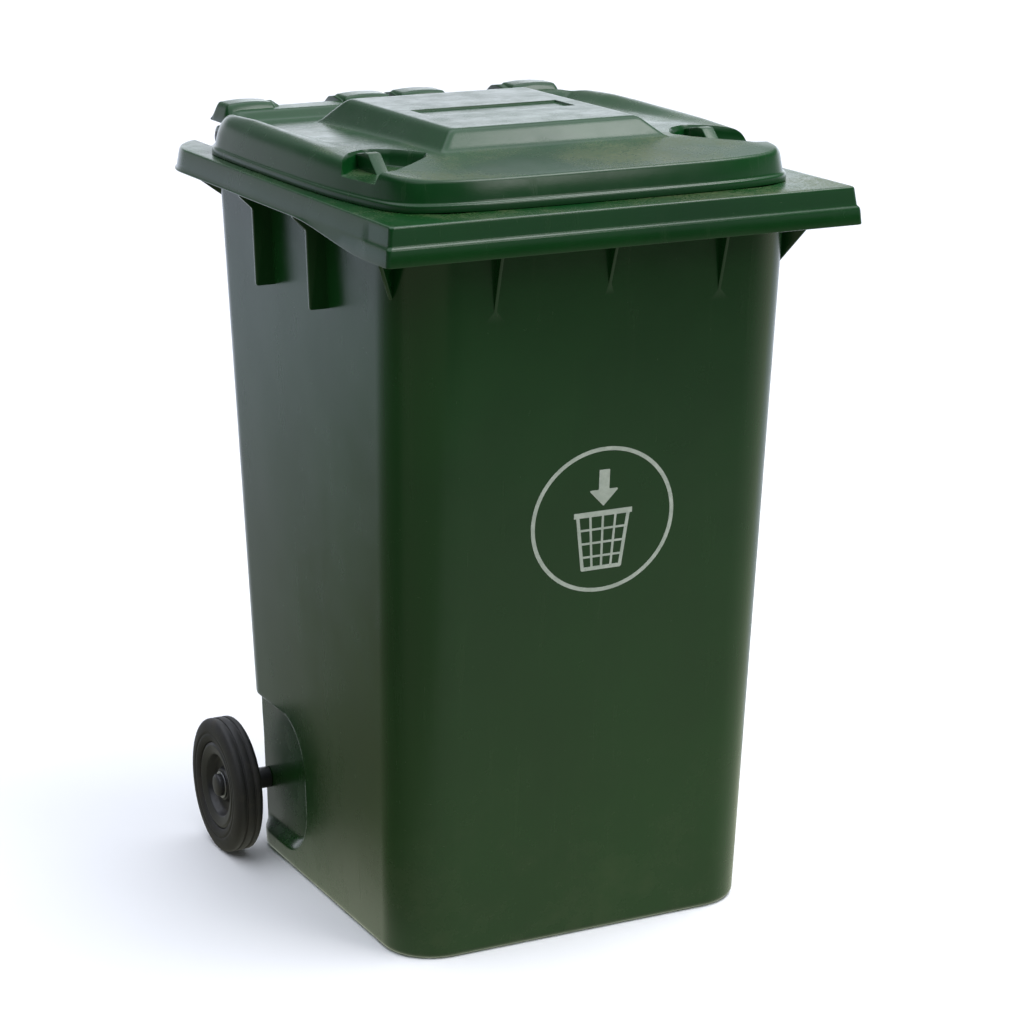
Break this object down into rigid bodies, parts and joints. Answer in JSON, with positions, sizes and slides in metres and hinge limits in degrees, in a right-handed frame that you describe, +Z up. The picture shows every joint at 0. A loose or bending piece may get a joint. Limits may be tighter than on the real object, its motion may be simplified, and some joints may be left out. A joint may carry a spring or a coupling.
{
  "type": "wheeled litter bin",
  "caption": "Tall two-wheeled plastic litter bin with a tapered tub, a deep front collar, and a hinged lid with a raised centre panel and corner grips.",
  "frame": {"origin": "centre of the footprint at ground level, below the middle of the overall plan box", "axes": "+Z up, -Y is the front with the collar's double band and the symbol, +Y is the hinge and wheel side, X runs along the wheel axle"},
  "size_m": [0.615, 0.7533, 1],
  "materials": {
    "green_plastic": "glossy moulded polyethylene, dark green, lightly scuffed and dusty",
    "tyre_rubber": "dusty black solid rubber",
    "black_plastic": "satin black moulded plastic",
    "zinc_steel": "zinc plated steel"
  },
  "bodies": {
    "bin": {"tub": "green_plastic", "hinge_rod_left": "black_plastic", "hinge_rod_right": "black_plastic", "axle": "zinc_steel", "axle_sleeve_left": "black_plastic", "inner_washer_left": "zinc_steel", "outer_washer_left": "zinc_steel", "axle_end_cap_left": "black_plastic", "axle_sleeve_right": "black_plastic", "inner_washer_right": "zinc_steel", "outer_washer_right": "zinc_steel", "axle_end_cap_right": "black_plastic"},
    "lid": {"lid": "green_plastic"},
    "wheel_left": {"tyre_left": "tyre_rubber", "wheel_centre_left": "black_plastic"},
    "wheel_right": {"tyre_right": "tyre_rubber", "wheel_centre_right": "black_plastic"}
  },
  "joints": [
    {"name": "lid_hinge", "type": "hinge", "parent": "bin", "child": "lid", "pos_m": [0, 0.36065, 0.93], "axis": [-1, 0, 0], "range_deg": [0, 270]},
    {"name": "left_wheel_spin", "type": "hinge", "parent": "bin", "child": "wheel_left", "pos_m": [-0.2885, 0.21565, 0.09], "axis": [1, 0, 0], "continuous": true},
    {"name": "right_wheel_spin", "type": "hinge", "parent": "bin", "child": "wheel_right", "pos_m": [0.2885, 0.21565, 0.09], "axis": [1, 0, 0], "continuous": true}
  ]
}
